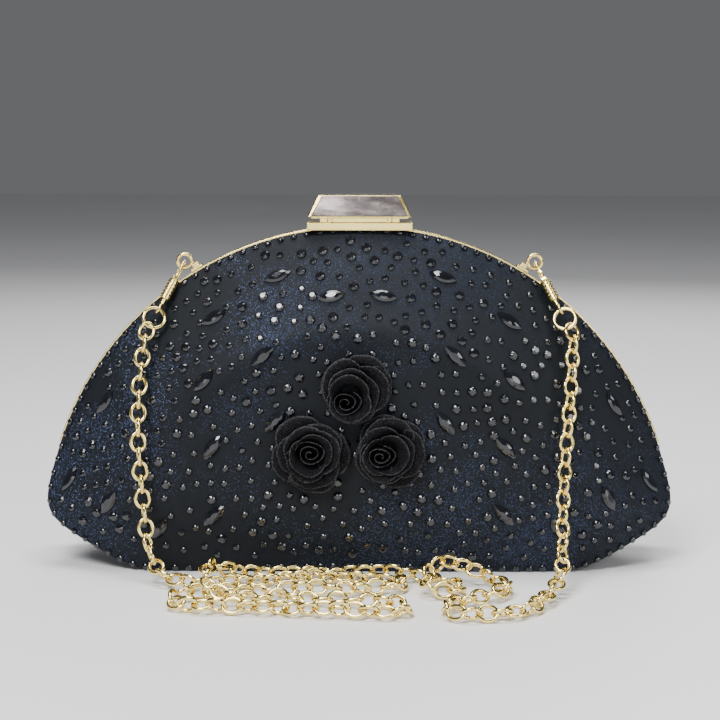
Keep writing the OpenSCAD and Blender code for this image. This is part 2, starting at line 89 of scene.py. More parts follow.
class Nodes:
    """A material's node tree, with one Principled shader."""

    def __init__(self, name):
        self.material = bpy.data.materials.new(name)
        self.material.use_nodes = True
        self.tree = self.material.node_tree
        self.shader = self.tree.nodes["Principled BSDF"]

    def set(self, **values):
        for name, value in values.items():
            socket = self.shader.inputs[name.replace("_", " ")]
            socket.default_value = (*value, 1) if isinstance(value, tuple) else value
        return self

    def add(self, kind, **inputs):
        node = self.tree.nodes.new(kind)
        for name, value in inputs.items():
            node.inputs[name.replace("_", " ")].default_value = value
        return node

    def link(self, start, end):
        self.tree.links.new(start, end)

    def place(self, scale=(1, 1, 1)):
        """Object coordinates, scaled."""
        coordinates = self.add("ShaderNodeTexCoord")
        mapping = self.add("ShaderNodeMapping", Scale=scale)
        self.link(coordinates.outputs["Object"], mapping.inputs["Vector"])
        return mapping.outputs["Vector"]

    def noise(self, at, scale, detail=3.0, roughness=0.5):
        node = self.add("ShaderNodeTexNoise", Scale=scale, Detail=detail, Roughness=roughness)
        self.link(at, node.inputs["Vector"])
        return node.outputs["Fac"]

    def ramp(self, fac, *stops):
        """Colour ramp from (position, colour) stops."""
        node = self.add("ShaderNodeValToRGB")
        elements = node.color_ramp.elements
        while len(elements) < len(stops):
            elements.new(0.5)
        for element, (position, colour) in zip(elements, stops):
            element.position = position
            element.color = (*colour, 1) if isinstance(colour, tuple) else (colour, colour, colour, 1)
        self.link(fac, node.inputs["Fac"])
        return node.outputs["Color"]

    def math(self, operation, a, b):
        node = self.tree.nodes.new("ShaderNodeMath")
        node.operation = operation
        for socket, value in zip(node.inputs, (a, b)):
            if isinstance(value, (int, float)):
                socket.default_value = value
            else:
                self.link(value, socket)
        return node.outputs[0]

    def bump(self, height, strength, distance, rounding=0.0):
        """Relief; with `rounding`, on edges that catch light as if rounded to that radius."""
        node = self.add("ShaderNodeBump", Strength=strength, Distance=distance)
        self.link(height, node.inputs["Height"])
        if rounding:
            rounded = self.add("ShaderNodeBevel", Radius=rounding)
            rounded.samples = 6
            self.link(rounded.outputs["Normal"], node.inputs["Normal"])
        self.link(node.outputs["Normal"], self.shader.inputs["Normal"])
        return self

    def to(self, output, name):
        self.link(output, self.shader.inputs[name])
        return self


# ---- materials ----

FLAKE_TURN = 0.9           # how far the glitter flakes lean out of the cloth


def glitter_cloth(name, base, glint, glint_share):
    """Fine woven black cloth with small metallic flakes in it, each turned its own way."""
    m = Nodes(name)
    at = m.place()
    cloud = m.noise(at, 22, 4)
    cells = m.add("ShaderNodeTexVoronoi", Scale=2900)
    m.link(at, cells.inputs["Vector"])
    split = m.add("ShaderNodeSeparateColor")
    m.link(cells.outputs["Color"], split.inputs["Color"])
    patchy = m.math("MULTIPLY", m.ramp(cloud, (0.35, 0.55), (0.7, 1.0)), split.outputs["Red"])
    picked = m.ramp(patchy, (1 - glint_share - 0.05, 0.0), (1 - glint_share, 1.0))
    shade = m.ramp(cloud, (0.3, tuple(c * 0.7 for c in base)), (0.7, tuple(c * 1.35 for c in base)))
    mixed = m.add("ShaderNodeMix")
    mixed.data_type = "RGBA"
    m.link(picked, mixed.inputs["Factor"])
    m.link(shade, mixed.inputs["A"])
    mixed.inputs["B"].default_value = (*glint, 1)
    m.to(mixed.outputs["Result"], "Base Color")
    m.to(m.math("MULTIPLY", picked, 0.8), "Metallic")
    m.to(m.ramp(picked, (0.0, 0.6), (1.0, 0.33)), "Roughness")
    turn = m.tree.nodes.new("ShaderNodeVectorMath")
    turn.operation = "MULTIPLY_ADD"
    m.link(cells.outputs["Color"], turn.inputs[0])
    turn.inputs[1].default_value = (FLAKE_TURN, FLAKE_TURN, FLAKE_TURN)
    turn.inputs[2].default_value = (-FLAKE_TURN / 2, -FLAKE_TURN / 2, -FLAKE_TURN / 2)
    spread = m.tree.nodes.new("ShaderNodeVectorMath")
    spread.operation = "SCALE"
    m.link(turn.outputs[0], spread.inputs[0])
    m.link(picked, spread.inputs["Scale"])
    weave = m.math("MULTIPLY", wave(m, at, 1500, "X"), wave(m, at, 1500, "Z"))
    bump = m.add("ShaderNodeBump", Strength=0.4, Distance=0.0001)
    m.link(weave, bump.inputs["Height"])
    total = m.tree.nodes.new("ShaderNodeVectorMath")
    m.link(bump.outputs["Normal"], total.inputs[0])
    m.link(spread.outputs[0], total.inputs[1])
    normal = m.tree.nodes.new("ShaderNodeVectorMath")
    normal.operation = "NORMALIZE"
    m.link(total.outputs[0], normal.inputs[0])
    m.to(normal.outputs[0], "Normal")
    m.set(Sheen_Weight=0.05, Sheen_Roughness=0.4, Sheen_Tint=(0.35, 0.4, 0.6), Specular_IOR_Level=0.22)
    return m.material


def wave(m, at, scale, direction):
    node = m.add("ShaderNodeTexWave", Scale=scale, Distortion=0.6, Detail=1.0)
    node.bands_direction = direction
    m.link(at, node.inputs["Vector"])
    return node.outputs["Fac"]


def polished_gold(name, colour, roughness, rounding=0.0):
    """Pale gold plate with faint waviness, rubbed patches and hairline marks."""
    m = Nodes(name)
    at = m.place()
    patch = m.noise(at, 90, 4, 0.6)
    m.to(m.ramp(patch, (0.3, tuple(c * 0.88 for c in colour)), (0.7, colour)), "Base Color")
    m.to(m.ramp(patch, (0.35, roughness * 0.7), (0.75, roughness * 1.6)), "Roughness")
    stretched = m.place(scale=(1, 1, 14))
    m.bump(m.noise(stretched, 420, 3), 0.06, 0.00005, rounding)
    return m.set(Metallic=1.0).material


def chiffon(name):
    """Sheer black cloth in an open weave: fine pale specks of thread, painted paler along the folded petal
    edges as painted sheen.
    """
    m = Nodes(name)
    at = m.place()
    specks = m.noise(at, 2600, 1, 0.9)
    edge = m.add("ShaderNodeAttribute")
    edge.attribute_name = "edge"
    sheen_near_edge = m.ramp(edge.outputs["Fac"], (0.88, 0.0), (0.99, 1.0))
    thread = m.ramp(specks, (0.5, (0.0025, 0.0025, 0.003)), (0.78, (0.030, 0.030, 0.036)))
    # painted sheen: near each petal's folded edge the thread is painted paler, standing in for the light
    # those rolled edges catch
    folded = m.ramp(specks, (0.40, (0.006, 0.006, 0.007)), (0.70, (0.085, 0.085, 0.092)))
    mixed = m.add("ShaderNodeMix")
    mixed.data_type = "RGBA"
    m.link(sheen_near_edge, mixed.inputs["Factor"])
    m.link(thread, mixed.inputs["A"])
    m.link(folded, mixed.inputs["B"])
    m.to(mixed.outputs["Result"], "Base Color")
    m.to(m.ramp(specks, (0.3, 0.9), (0.7, 0.7)), "Roughness")
    m.bump(specks, 0.6, 0.0002)
    return m.set(Sheen_Weight=0.01, Sheen_Roughness=0.5, Specular_IOR_Level=0.08).material


def cut_stone(name, colour):
    """Black cut glass with a dark foiled back and slight clouding."""
    m = Nodes(name)
    at = m.place()
    cloud = m.noise(at, 160, 2)
    m.to(m.ramp(cloud, (0.35, tuple(c * 0.5 for c in colour)), (0.7, colour)), "Base Color")
    m.to(m.ramp(cloud, (0.3, 0.05), (0.8, 0.14)), "Roughness")
    return m.set(IOR=1.6, Coat_Weight=0.1, Coat_Roughness=0.03).material


def smoky_mirror(name):
    """Grey smoky glass over a mirror foil, with soft streaks."""
    m = Nodes(name)
    streaks = m.noise(m.place(scale=(1, 1, 3)), 60, 5, 0.65)
    m.to(m.ramp(streaks, (0.3, (0.12, 0.10, 0.10)), (0.75, (0.42, 0.37, 0.36))), "Base Color")
    m.to(m.ramp(streaks, (0.3, 0.10), (0.8, 0.26)), "Roughness")
    m.bump(streaks, 0.05, 0.0001)
    return m.set(Metallic=0.85, Coat_Weight=1.0, Coat_Roughness=0.04).material


def satin(name):
    """Black satin with a soft sheen along its threads."""
    m = Nodes(name)
    threads = m.noise(m.place(scale=(1, 1, 0.08)), 2400, 2)
    m.to(m.ramp(threads, (0.3, (0.012, 0.012, 0.014)), (0.7, (0.03, 0.03, 0.034))), "Base Color")
    m.to(m.ramp(threads, (0.3, 0.32), (0.7, 0.45)), "Roughness")
    m.bump(threads, 0.3, 0.00008)
    return m.set(Sheen_Weight=0.4, Sheen_Roughness=0.3, Sheen_Tint=(0.6, 0.6, 0.7)).material


def plain_grain(name, low, high, roughness, metallic=0.0):
    """Two-tone fine grain, for the board and the steel."""
    m = Nodes(name)
    grain = m.noise(m.place(), 700, 4)
    m.to(m.ramp(grain, (0.3, low), (0.7, high)), "Base Color")
    m.to(m.ramp(grain, (0.3, roughness * 0.8), (0.7, roughness * 1.2)), "Roughness")
    m.bump(grain, 0.3, 0.0001)
    return m.set(Metallic=metallic).material


COVER = glitter_cloth("cover_cloth", (0.0022, 0.0042, 0.0072), (0.035, 0.045, 0.085), 0.30)
GUSSET = glitter_cloth("gusset_cloth", (0.003, 0.004, 0.006), (0.03, 0.035, 0.06), 0.12)
CHIFFON = chiffon("rose_chiffon")
JET = cut_stone("jet_glass", (0.006, 0.007, 0.011))
FRAME_GOLD = polished_gold("frame_gold", (0.95, 0.76, 0.28), 0.14, rounding=0.5 * MM)
CHAIN_GOLD = polished_gold("chain_gold", (0.97, 0.78, 0.29), 0.16)
MIRROR = smoky_mirror("smoky_mirror")
SATIN = satin("lining_satin")
BOARD = plain_grain("shell_board", (0.25, 0.23, 0.2), (0.4, 0.37, 0.33), 0.8)
STEEL = plain_grain("spring_steel", (0.5, 0.5, 0.52), (0.65, 0.65, 0.67), 0.3, 1.0)


# ---- mesh helpers ----


def piece(name, points, faces, material, slot, smooth=True):
    """Mesh object from points in millimetres."""
    mesh = bpy.data.meshes.new(name)
    mesh.from_pydata([tuple(float(c) * MM for c in p) for p in points], [], faces)
    mesh.validate()
    mesh.polygons.foreach_set("use_smooth", [smooth] * len(mesh.polygons))
    mesh.materials.append(material)
    obj = bpy.data.objects.new(name, mesh)
    bpy.context.scene.collection.objects.link(obj)
    return obj


def grid_faces(rows, columns, start=0, closed=False, flip=False):
    """Quads between rows of points; closed joins each row's ends."""
    faces = []
    for j in range(rows - 1):
        for i in range(columns if closed else columns - 1):
            k = (i + 1) % columns
            a = start + j * columns + i
            b = start + j * columns + k
            quad = (a, b, b + columns, a + columns)
            faces.append(quad[::-1] if flip else quad)
    return faces


def sheet_faces(rows, columns):
    """Faces of a thin closed sheet: its outer grid, its inner grid, and the four edges between them."""
    size = rows * columns
    faces = grid_faces(rows, columns) + grid_faces(rows, columns, size, flip=True)
    last = (rows - 1) * columns
    for i in range(columns - 1):
        a, b = last + i, last + i + 1
        faces += [(i + 1, i, i + size, i + 1 + size), (a, b, b + size, a + size)]
    for j in range(rows - 1):
        a, b = j * columns, (j + 1) * columns
        c, d = a + columns - 1, b + columns - 1
        faces += [(a, b, b + size, a + size), (d, c, c + size, d + size)]
    return faces


def unit(v):
    v = np.asarray(v, float)
    return v / max(np.linalg.norm(v), 1e-12)


# ---- the body's outline and surface, as in the CAD model ----


def plane_reach(dx, dz, nx, nz, limit):
    """Distance from the hub to a plane along a ray; very far where the ray leaves it."""
    rate = dx * nx + dz * nz
    return np.where(rate > 0.01, (limit - HUB_Z * nz) / np.maximum(rate, 0.01), 1e5)


def outline_reach(phi, inset):
    """Distance from the hub to the outline along a ray at angle phi."""
    dx, dz = np.abs(np.cos(phi)), np.sin(phi)
    lift = HUB_Z - ARC_Z
    b = lift * dz
    r = FRAME_R - 0.6 - inset
    arc = -b + np.sqrt(b * b - lift * lift + r * r)
    nx, nz = math.sin(BASE_SLANT), -math.cos(BASE_SLANT)
    side = plane_reach(dx, dz, nx, nz, BASE_HALF_W * nx - inset)
    base = plane_reach(dx, dz, 0, -1, -inset)
    return (arc**-CORNER + side**-CORNER + base**-CORNER) ** (-1 / CORNER)


def rim_depth(z, inset):
    """Distance of a half's rim from the parting plane; it flares out below the hinges."""
    return EDGE_DEPTH - inset + FLARE * np.maximum(0, HINGE_Z - z)


CREASE_R = 79              # the soft arched crease over the roses, from the arc's centre
CREASE_W = 5.0
CREASE_H = 1.4


def surface(phi, s, inset):
    """Point of the front half: s runs from 0 at the hub to 1 at the rim."""
    reach = outline_reach(phi, inset)
    low = np.maximum(0, -np.sin(phi)) ** 1.5
    slope = TOP_SLOPE + (BASE_SLOPE - TOP_SLOPE) * low
    power = 1.45 + (2.2 - 1.45) * low
    rim = rim_depth(HUB_Z + reach * np.sin(phi), inset)
    share = np.maximum(0, (s * reach - reach + slope) / slope)
    full = HALF_DEPTH - inset - DOME * s * s
    x = s * reach * np.cos(phi)
    z = HUB_Z + s * reach * np.sin(phi)
    depth = rim + (full - rim) * (1 - share**power)
    from_arc = np.hypot(x, z - ARC_Z)
    crease = np.exp(-(((from_arc - CREASE_R) / CREASE_W) ** 2)) * np.clip((z - 50) / 18, 0, 1)
    return np.stack([x, -(depth + CREASE_H * crease), z], -1)


def cover_at(x, z, inset=0.0):
    """Point of the front half at x and z, and its share of the way from the hub to the rim."""
    phi = math.atan2(z - HUB_Z, x)
    s = math.hypot(x, z - HUB_Z) / float(outline_reach(phi, inset))
    return surface(phi, s, inset), s


def cover_normal(x, z):
    a = cover_at(x + 0.7, z)[0] - cover_at(x - 0.7, z)[0]
    b = cover_at(x, z + 0.7)[0] - cover_at(x, z - 0.7)[0]
    n = unit(np.cross(a, b))
    return -n if n[1] > 0 else n


def even_rays(count, inset):
    """Ray angles whose points are evenly spaced along the outline, from straight down."""
    fine = np.linspace(-math.pi / 2, 1.5 * math.pi, 4001)
    reach = outline_reach(fine, inset)
    x, z = reach * np.cos(fine), reach * np.sin(fine)
    along = np.concatenate([[0], np.cumsum(np.hypot(np.diff(x), np.diff(z)))])
    return np.interp(np.linspace(0, along[-1], count, endpoint=False), along, fine)


def half_layer(outer, inner, count=260, rings=64):
    """Points and faces of one closed layer of the front half."""
    phi = even_rays(count, outer)
    shares = np.linspace(0.02, 1, rings) ** 0.8
    points, faces = [], []
    for layer, inset in enumerate((outer, inner)):
        start = len(points)
        for s in shares:
            points.extend(surface(phi, s, inset))
        points.append(surface(np.array(math.pi / 2), 0.0, inset))
        faces += grid_faces(rings, count, start, closed=True, flip=layer == 0)
        hub = start + rings * count
        for i in range(count):
            k = (i + 1) % count
            faces.append((start + i, start + k, hub) if layer == 0 else (start + k, start + i, hub))
    size = rings * count + 1
    rim = (rings - 1) * count
    for i in range(count):
        a, b = rim + i, rim + (i + 1) % count
        faces.append((b, a, a + size, b + size))
    return np.array(points), faces


def to_back(points, faces):
    """The mirrored layer of the rear half."""
    return points * [1, -1, 1], [f[::-1] for f in faces]


# ---- camera, floor and lights ----


def make_camera():
    """The photograph's view, from a little above the clasp and tipped slightly down."""
    pitch, roll = 0.1298, 0.0025
    data = bpy.data.cameras.new("camera")
    data.sensor_width = 36
    data.lens = 84.52
    data.clip_start, data.clip_end = 0.01, 20
    camera = bpy.data.objects.new("camera", data)
    bpy.context.scene.collection.objects.link(camera)
    turn = Matrix.Rotation(math.pi / 2 - pitch, 4, "X") @ Matrix.Rotation(roll, 4, "Z")
    camera.matrix_world = Matrix.Translation((0.0002, -0.600, 0.150)) @ turn
    bpy.context.scene.camera = camera


def make_floor():
    m = Nodes("floor")
    m.to(m.ramp(m.noise(m.place(), 3), (0.3, (0.80, 0.80, 0.81)), (0.7, (0.84, 0.84, 0.85))), "Base Color")
    m.set(Roughness=0.5)
    mesh = bpy.data.meshes.new("floor")
    corners = [(-4, -4, 0), (4, -4, 0), (4, 4, 0), (-4, 4, 0)]
    mesh.from_pydata(corners, [], [(0, 1, 2, 3)])
    mesh.materials.append(m.material)
    floor = bpy.data.objects.new("floor", mesh)
    bpy.context.scene.collection.objects.link(floor)


def area_light(name, at, towards, size, watts):
    data = bpy.data.lights.new(name, "AREA")
    data.shape = "RECTANGLE"
    data.size, data.size_y = size
    data.energy = watts
    light = bpy.data.objects.new(name, data)
    bpy.context.scene.collection.objects.link(light)
    way = Vector(towards) - Vector(at)
    light.matrix_world = Matrix.Translation(at) @ way.to_track_quat("-Z", "Y").to_matrix().to_4x4()


def make_light():
    """A large soft key on the left, with weaker lights around it and a pale world."""
    world = bpy.data.worlds.new("studio")
    world.use_nodes = True
    background = world.node_tree.nodes["Background"]
    background.inputs["Color"].default_value = (0.86, 0.87, 0.9, 1)
    background.inputs["Strength"].default_value = 0.16
    bpy.context.scene.world = world
    middle = (0, 0, 0.06)
    area_light("key", (-0.35, -0.75, 0.95), middle, (0.5, 0.4), 17)
    area_light("fill", (0.8, -0.6, 0.45), middle, (0.4, 0.5), 4)
    area_light("top", (0, 0.05, 1.0), middle, (0.7, 0.4), 10)
    area_light("back", (0.2, 0.9, 0.6), middle, (0.7, 0.4), 4)
    area_light("front", (0, -1.7, 0.25), middle, (1.6, 0.45), 7)


make_camera()
make_floor()
make_light()

# ---- chain: one train of links along the route, in the CAD model's three pieces ----

# The hooks, as in the CAD model: the ear's wire, and the way the right hook hangs
EAR_ANGLE, HOOK_LEAN, HOOK_TILT = (math.radians(a) for a in (31.6, 27, 28))
EAR_RING_R = 2.45
EAR_LIFT = 4.8
EAR_Y = -4.2
RING_BOTTOM_AT = 25.3      # along the hook, from the ear's wire to the ring's lowest wire
hook_way = np.array([
    math.cos(HOOK_TILT) * math.sin(HOOK_LEAN),
    -math.sin(HOOK_TILT),
    -math.cos(HOOK_TILT) * math.cos(HOOK_LEAN),
])
ear_wire = np.array([
    (FRAME_R + EAR_LIFT) * math.sin(EAR_ANGLE) + EAR_RING_R * math.sin(HOOK_LEAN),
    EAR_Y,
    ARC_Z + (FRAME_R + EAR_LIFT) * math.cos(EAR_ANGLE) - EAR_RING_R * math.cos(HOOK_LEAN),
])
ring_bottom = {
    "right": ear_wire + hook_way * RING_BOTTOM_AT,
    "left": (ear_wire + hook_way * RING_BOTTOM_AT) * [-1, 1, 1],
}

# The chain's route, by the same points as in the CAD model
LEFT_DROP = [
    (-74.2, -17.9, 82.2), (-75.5, -22.5, 70), (-75.8, -26.5, 60), (-75.8, -29.3, 50),
    (-75.2, -30.8, 40), (-74, -32, 26), (-72.5, -34, 15), (-70.5, -38.5, 7), (-65.5, -45, 3.2),
    (-57, -50, 3),
]
RIGHT_DROP = [
    (74, -17.9, 82.2), (73.2, -22.5, 70), (72.2, -26.5, 60), (71.2, -29.5, 50), (70.4, -31.5, 40),
    (69.5, -35, 28), (68.8, -41.5, 17), (67.5, -51, 8.5), (64.5, -62, 3.8), (60, -70, 3),
]
HEAP = [
    (-55.2, -50.1, 3), (-47, -50.5, 3), (-33, -46, 3), (-19, -42, 3), (-5, -40.5, 3), (8, -42, 3),
    (16, -47, 3), (14, -54, 3), (4, -56, 3), (-10, -55, 3), (-24, -57, 3), (-38, -60, 3),
    (-52, -60.5, 3), (-61, -65, 3), (-60, -73, 3), (-51, -77.5, 3), (-38, -78, 3), (-24, -79, 3),
    (-11, -80.5, 3), (0, -83, 3), (10, -85, 3), (17, -81, 3), (15, -74, 3), (6, -72, 3),
    (-5, -70, 3), (-18, -68, 3), (-32, -69, 3), (-44, -69.5, 4), (-51, -64, 8.5), (-50, -56, 9.6),
    (-48, -48, 8.8), (-42, -40.5, 5), (-32, -37, 3), (-20, -34.8, 3), (-8, -34, 3), (4, -34, 3),
    (16, -36.5, 3), (26, -42, 3), (33, -49, 3), (34, -57, 3), (29, -62.5, 3), (22, -60, 3),
    (21, -53, 4.5), (25, -46, 8.7), (32, -41.5, 9), (40, -40.5, 4.5), (48, -44, 3), (51.5, -51, 3),
    (48, -58, 3), (42, -64, 3), (35, -69.5, 3), (28, -75, 3), (26, -82, 3), (32, -87.5, 3),
    (42, -86.5, 3), (50, -82, 3), (56, -77, 3), (59.2, -71.6, 3),
]


def spline(points, step=0.5):
    """Catmull-Rom curve through the points, resampled at even steps."""
    p = np.array(points, float)
    p = np.vstack([2 * p[0] - p[1], p, 2 * p[-1] - p[-2]])
    curve = []
    for i in range(1, len(p) - 2):
        t = np.linspace(0, 1, 24, endpoint=False)[:, None]
        a, b, c, d = p[i - 1 : i + 3]
        square, cube = 2 * a - 5 * b + 4 * c - d, 3 * b - a - 3 * c + d
        curve.append(0.5 * (2 * b + (c - a) * t + square * t**2 + cube * t**3))
    curve = np.vstack([*curve, p[-2:-1]])
    along = np.concatenate([[0], np.cumsum(np.linalg.norm(np.diff(curve, axis=0), axis=1))])
    at = np.linspace(0, along[-1], int(along[-1] / step) + 1)
    return np.stack([np.interp(at, along, curve[:, k]) for k in range(3)], 1)


def link_template(length, width, wire, around=26, sides=9):
    """Oval link of round wire: its long axis is X, and it lies flat in XY."""
    half_l, half_w = (length - wire) / 2, (width - wire) / 2
    points = []
    for i in range(around):
        a = 2 * math.pi * i / around
        c, s = math.cos(a), math.sin(a)
        middle = np.array([half_l * c, half_w * s, 0])
        out = unit([half_w * c, half_l * s, 0])
        for k in range(sides):
            b = 2 * math.pi * k / sides
            points.append(middle + wire / 2 * (out * math.cos(b) + np.array([0, 0, math.sin(b)])))
    faces = []
    for i in range(around):
        for k in range(sides):
            a, b = i * sides + k, i * sides + (k + 1) % sides
            c, d = ((i + 1) % around) * sides + (k + 1) % sides, ((i + 1) % around) * sides + k
            faces.append((a, d, c, b))
    return np.array(points), faces


def waves(at, lengths, draws):
    """Sum of sine waves of the given lengths, with drawn phases, about 1 high."""
    phases = draws.uniform(0, 2 * math.pi, len(lengths))
    return sum(np.sin(2 * math.pi * at / w + f) for w, f in zip(lengths, phases)) / math.sqrt(len(lengths))


STRAND_GAP = 4.8           # strands closer than this push each other apart
SWAY = 1.5                 # how far the lying chain wanders sideways and rises


def lay_naturally(line, step):
    """Bends and lifts the chain where it lies on the floor, then pushes its strands apart."""
    draws = np.random.default_rng(5)
    every = 5
    nodes = line[::every].copy()
    at = np.arange(len(nodes)) * every * step
    lying = np.clip((13 - nodes[:, 2]) / 8, 0, 1)
    way = np.gradient(nodes, axis=0)
    side = np.stack([way[:, 1], -way[:, 0], np.zeros(len(nodes))], 1)
    side /= np.maximum(np.linalg.norm(side, axis=1), 1e-6)[:, None]
    nodes += side * (SWAY * lying * waves(at, (17, 26, 41), draws))[:, None]
    nodes[:, 2] += SWAY * lying * np.maximum(0, waves(at, (13, 23, 37), draws))
    apart = np.abs(at[:, None] - at[None, :]) > 10
    for _ in range(30):
        gap = nodes[:, None] - nodes[None, :]
        distance = np.linalg.norm(gap, axis=2) + 1e-9
        push = np.where(apart & (distance < STRAND_GAP), (STRAND_GAP - distance) / distance * 0.25, 0)
        nodes += (gap * push[:, :, None]).sum(1) * lying[:, None]
        nodes[:, 2] = np.maximum(nodes[:, 2], np.minimum(2.9, line[::every][:, 2]))
        nodes[1:-1] += 0.10 * lying[1:-1, None] * (nodes[:-2] + nodes[2:] - 2 * nodes[1:-1])
    nodes = np.vstack([nodes, line[-1:]]) if (len(line) - 1) % every else nodes
    return spline([tuple(n) for n in nodes])


LINK_L, LINK_W, LINK_WIRE = 7.6, 6.1, 1.35
LINK_PITCH = LINK_L - 2 * LINK_WIRE
SETTLE = 0.5               # the links on the floor lie lower than the tube's middle
LYING_ROLL = math.radians(38)


def make_chain():
    """Interlocked oval links at an even pitch from ring to ring, each turned a quarter from the last."""
    start = [tuple(ring_bottom["left"])]
    end = [tuple(ring_bottom["right"])]
    line = spline(start + LEFT_DROP + HEAP[1:-1] + RIGHT_DROP[::-1] + end)
    line = lay_naturally(line, float(np.linalg.norm(line[1] - line[0])))
    step = float(np.linalg.norm(line[1] - line[0]))
    total = step * (len(line) - 1)
    first = LINK_L / 2 - LINK_WIRE / 2 - (RING_WIRE + LINK_WIRE) / 2
    count = int(round((total - 2 * first) / LINK_PITCH)) + 1
    pitch = (total - 2 * first) / (count - 1)
    template, link_faces = link_template(LINK_L, LINK_W, LINK_WIRE)
    draws = random.Random(7)

    # a frame that is carried along the line without twisting
    way = np.gradient(line, axis=0)
    way /= np.linalg.norm(way, axis=1)[:, None]
    side = [unit(np.cross(np.cross(way[0], [0, -1, 0]), way[0]))]
    for t in way[1:]:
        side.append(unit(side[-1] - t * np.dot(side[-1], t)))
    side = np.array(side)

    left_end = int(np.argmin(np.linalg.norm(line - np.array(LEFT_DROP[-1]), axis=1)))
    right_end = int(np.argmin(np.linalg.norm(line - np.array(RIGHT_DROP[-1]), axis=1)))
    parts = {"chain_left_drop": [], "chain_heap": [], "chain_right_drop": []}
    for n in range(count):
        i = min(len(line) - 1, int(round((first + n * pitch) / step)))
        centre, t = line[i].copy(), way[i]
        lying = float(np.clip((22 - centre[2]) / 16, 0, 1))
        level = unit(np.cross(t, [0, 0, 1])) if lying > 0.6 else side[i]
        level = level if np.dot(level, side[i]) > 0 else -level
        across = unit(side[i] * (1 - lying) + level * lying)
        across = unit(across - t * np.dot(across, t))
        up = np.cross(t, across)
        roll = lying * LYING_ROLL + (math.pi / 2) * (n % 2) + draws.uniform(-0.3, 0.3) * (0.2 + 1.3 * lying)
        jolt = np.array([draws.uniform(-1, 1), draws.uniform(-1, 1), draws.uniform(-0.6, 1)])
        x_axis = unit(t + 0.18 * lying * jolt)
        normal = across * math.cos(roll) + up * math.sin(roll)
        normal = unit(normal - x_axis * np.dot(normal, x_axis))
        y_axis = np.cross(normal, x_axis)
        centre[2] -= SETTLE * lying
        link = centre + template @ np.array([x_axis, y_axis, normal])
        link[:, 2] += max(0, 0.02 - link[:, 2].min())
        name = "chain_left_drop" if i < left_end else "chain_right_drop" if i > right_end else "chain_heap"
        parts[name].append(link)
    for name, links in parts.items():
        points = np.vstack(links)
        faces = []
        for k in range(len(links)):
            faces += [tuple(v + k * len(template) for v in f) for f in link_faces]
        obj = piece(name + "_links", points, faces, CHAIN_GOLD, "chain_gold")
        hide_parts(name)
        if name == "chain_heap":
            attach(obj, "front")
        else:
            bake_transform(obj)


make_chain()

# ---- body ----


def make_layers():
    """Cover and lining of each half."""
    for name, outer, thick, material, slot in (
        ("cover", 0.0, COVER_T, COVER, "cover_fabric"),
        ("lining", LINING_INSET, LINING_T, SATIN, "lining_satin"),
    ):
        points, faces = half_layer(outer, outer + thick)
        for half in ("front", "rear"):
            shape = (points, faces) if half == "front" else to_back(points, faces)
            obj = piece(f"{half}_{name}_cloth", *shape, material, slot)
            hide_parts(f"{half}_{name}")
            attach(obj, half)


make_layers()

HINGE_BACK_X = 99.0        # just inside the hinge leaves
GUSSET_T = 0.6


def make_outer_gusset():
    """One strip of cloth from frame end to frame end under the base, folded in behind the hinges."""
    phi = np.linspace(math.radians(-90), math.radians(1.8), 68)
    phi = np.concatenate([math.pi - phi[::-1], phi[1:]])
    phi = np.where(phi > math.pi, phi - 2 * math.pi, phi)
    across = np.linspace(-1, 1, 25)
    points = []
    for thickness in (0.0, GUSSET_T):
        for a in phi:
            reach = float(outline_reach(a, 0.25))
            z = HUB_Z + reach * math.sin(a)
            half = float(rim_depth(z, COVER_T)) - 0.1
            steep = np.clip((z - 1) / 10, 0, 1)
            behind = np.clip((z - 21) / 12, 0, 1)
            behind = behind * behind * (3 - 2 * behind)
            for u in across:
                pleats = steep * (1.6 * (1 - u * u) + 0.5 * math.cos(3 * math.pi * u) * (1 - u * u))
                fold = min(1, (1 - abs(u)) / 0.5) * (reach - HINGE_BACK_X)
                tuck = pleats + behind * (fold - pleats)
                r = reach - thickness - tuck
                points.append((r * math.cos(a), u * half, HUB_Z + r * math.sin(a)))
    faces = sheet_faces(len(phi), len(across))
    obj = piece("outer_gusset_cloth", points, faces, GUSSET, "gusset_fabric")
    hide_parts("base_gusset", "left_side_gusset", "right_side_gusset")
    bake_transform(obj)


make_outer_gusset()


def make_inner_gussets():
    """Folded lining cloth between the frame halves above each hinge."""
    angles = np.radians(np.linspace(21.5, 50, 34))
    across = np.linspace(-1, 1, 21)
    for name, flip in (("right", 1), ("left", -1)):
        points = []
        for thickness in (0.0, 0.35):
            for k, a in enumerate(angles):
                fold = 18 * math.sin(math.pi * min(1, 0.1 + k / len(angles))) ** 0.7 + 2
                for u in across:
                    r = FRAME_R - 7.6 - fold * (1 - abs(u)) - thickness
                    points.append((flip * r * math.cos(a), 1.55 * u, ARC_Z + r * math.sin(a)))
        faces = sheet_faces(len(angles), len(across))
        obj = piece(f"{name}_inner_gusset_cloth", points, faces, SATIN, "lining_satin")
        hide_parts(f"{name}_inner_gusset")
        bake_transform(obj)


make_inner_gussets()


def make_pocket():
    """Slip pocket on the rear lining, with a rolled hem along its top."""
    xs = np.linspace(-45, 45, 60)
    zs = np.linspace(16, 54, 34)
    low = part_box("slip_pocket")[0]
    points = []
    for thickness in (0.0, 0.7):
        for z in zs:
            for x in xs:
                hem = 0.5 * math.exp(-(((z - 52.5) / 1.2) ** 2))
                sag = 0.5 * math.sin(x / 9) * (z - 16) / 38
                points.append((x, low.y / MM + 0.1 - hem + 0.2 * sag + (0.7 - thickness), z))
    faces = [f[::-1] for f in sheet_faces(len(zs), len(xs))]
    obj = piece("slip_pocket_cloth", points, faces, SATIN, "lining_satin")
    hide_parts("slip_pocket")
    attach(obj, "rear")


make_pocket()

# ---- stones ----

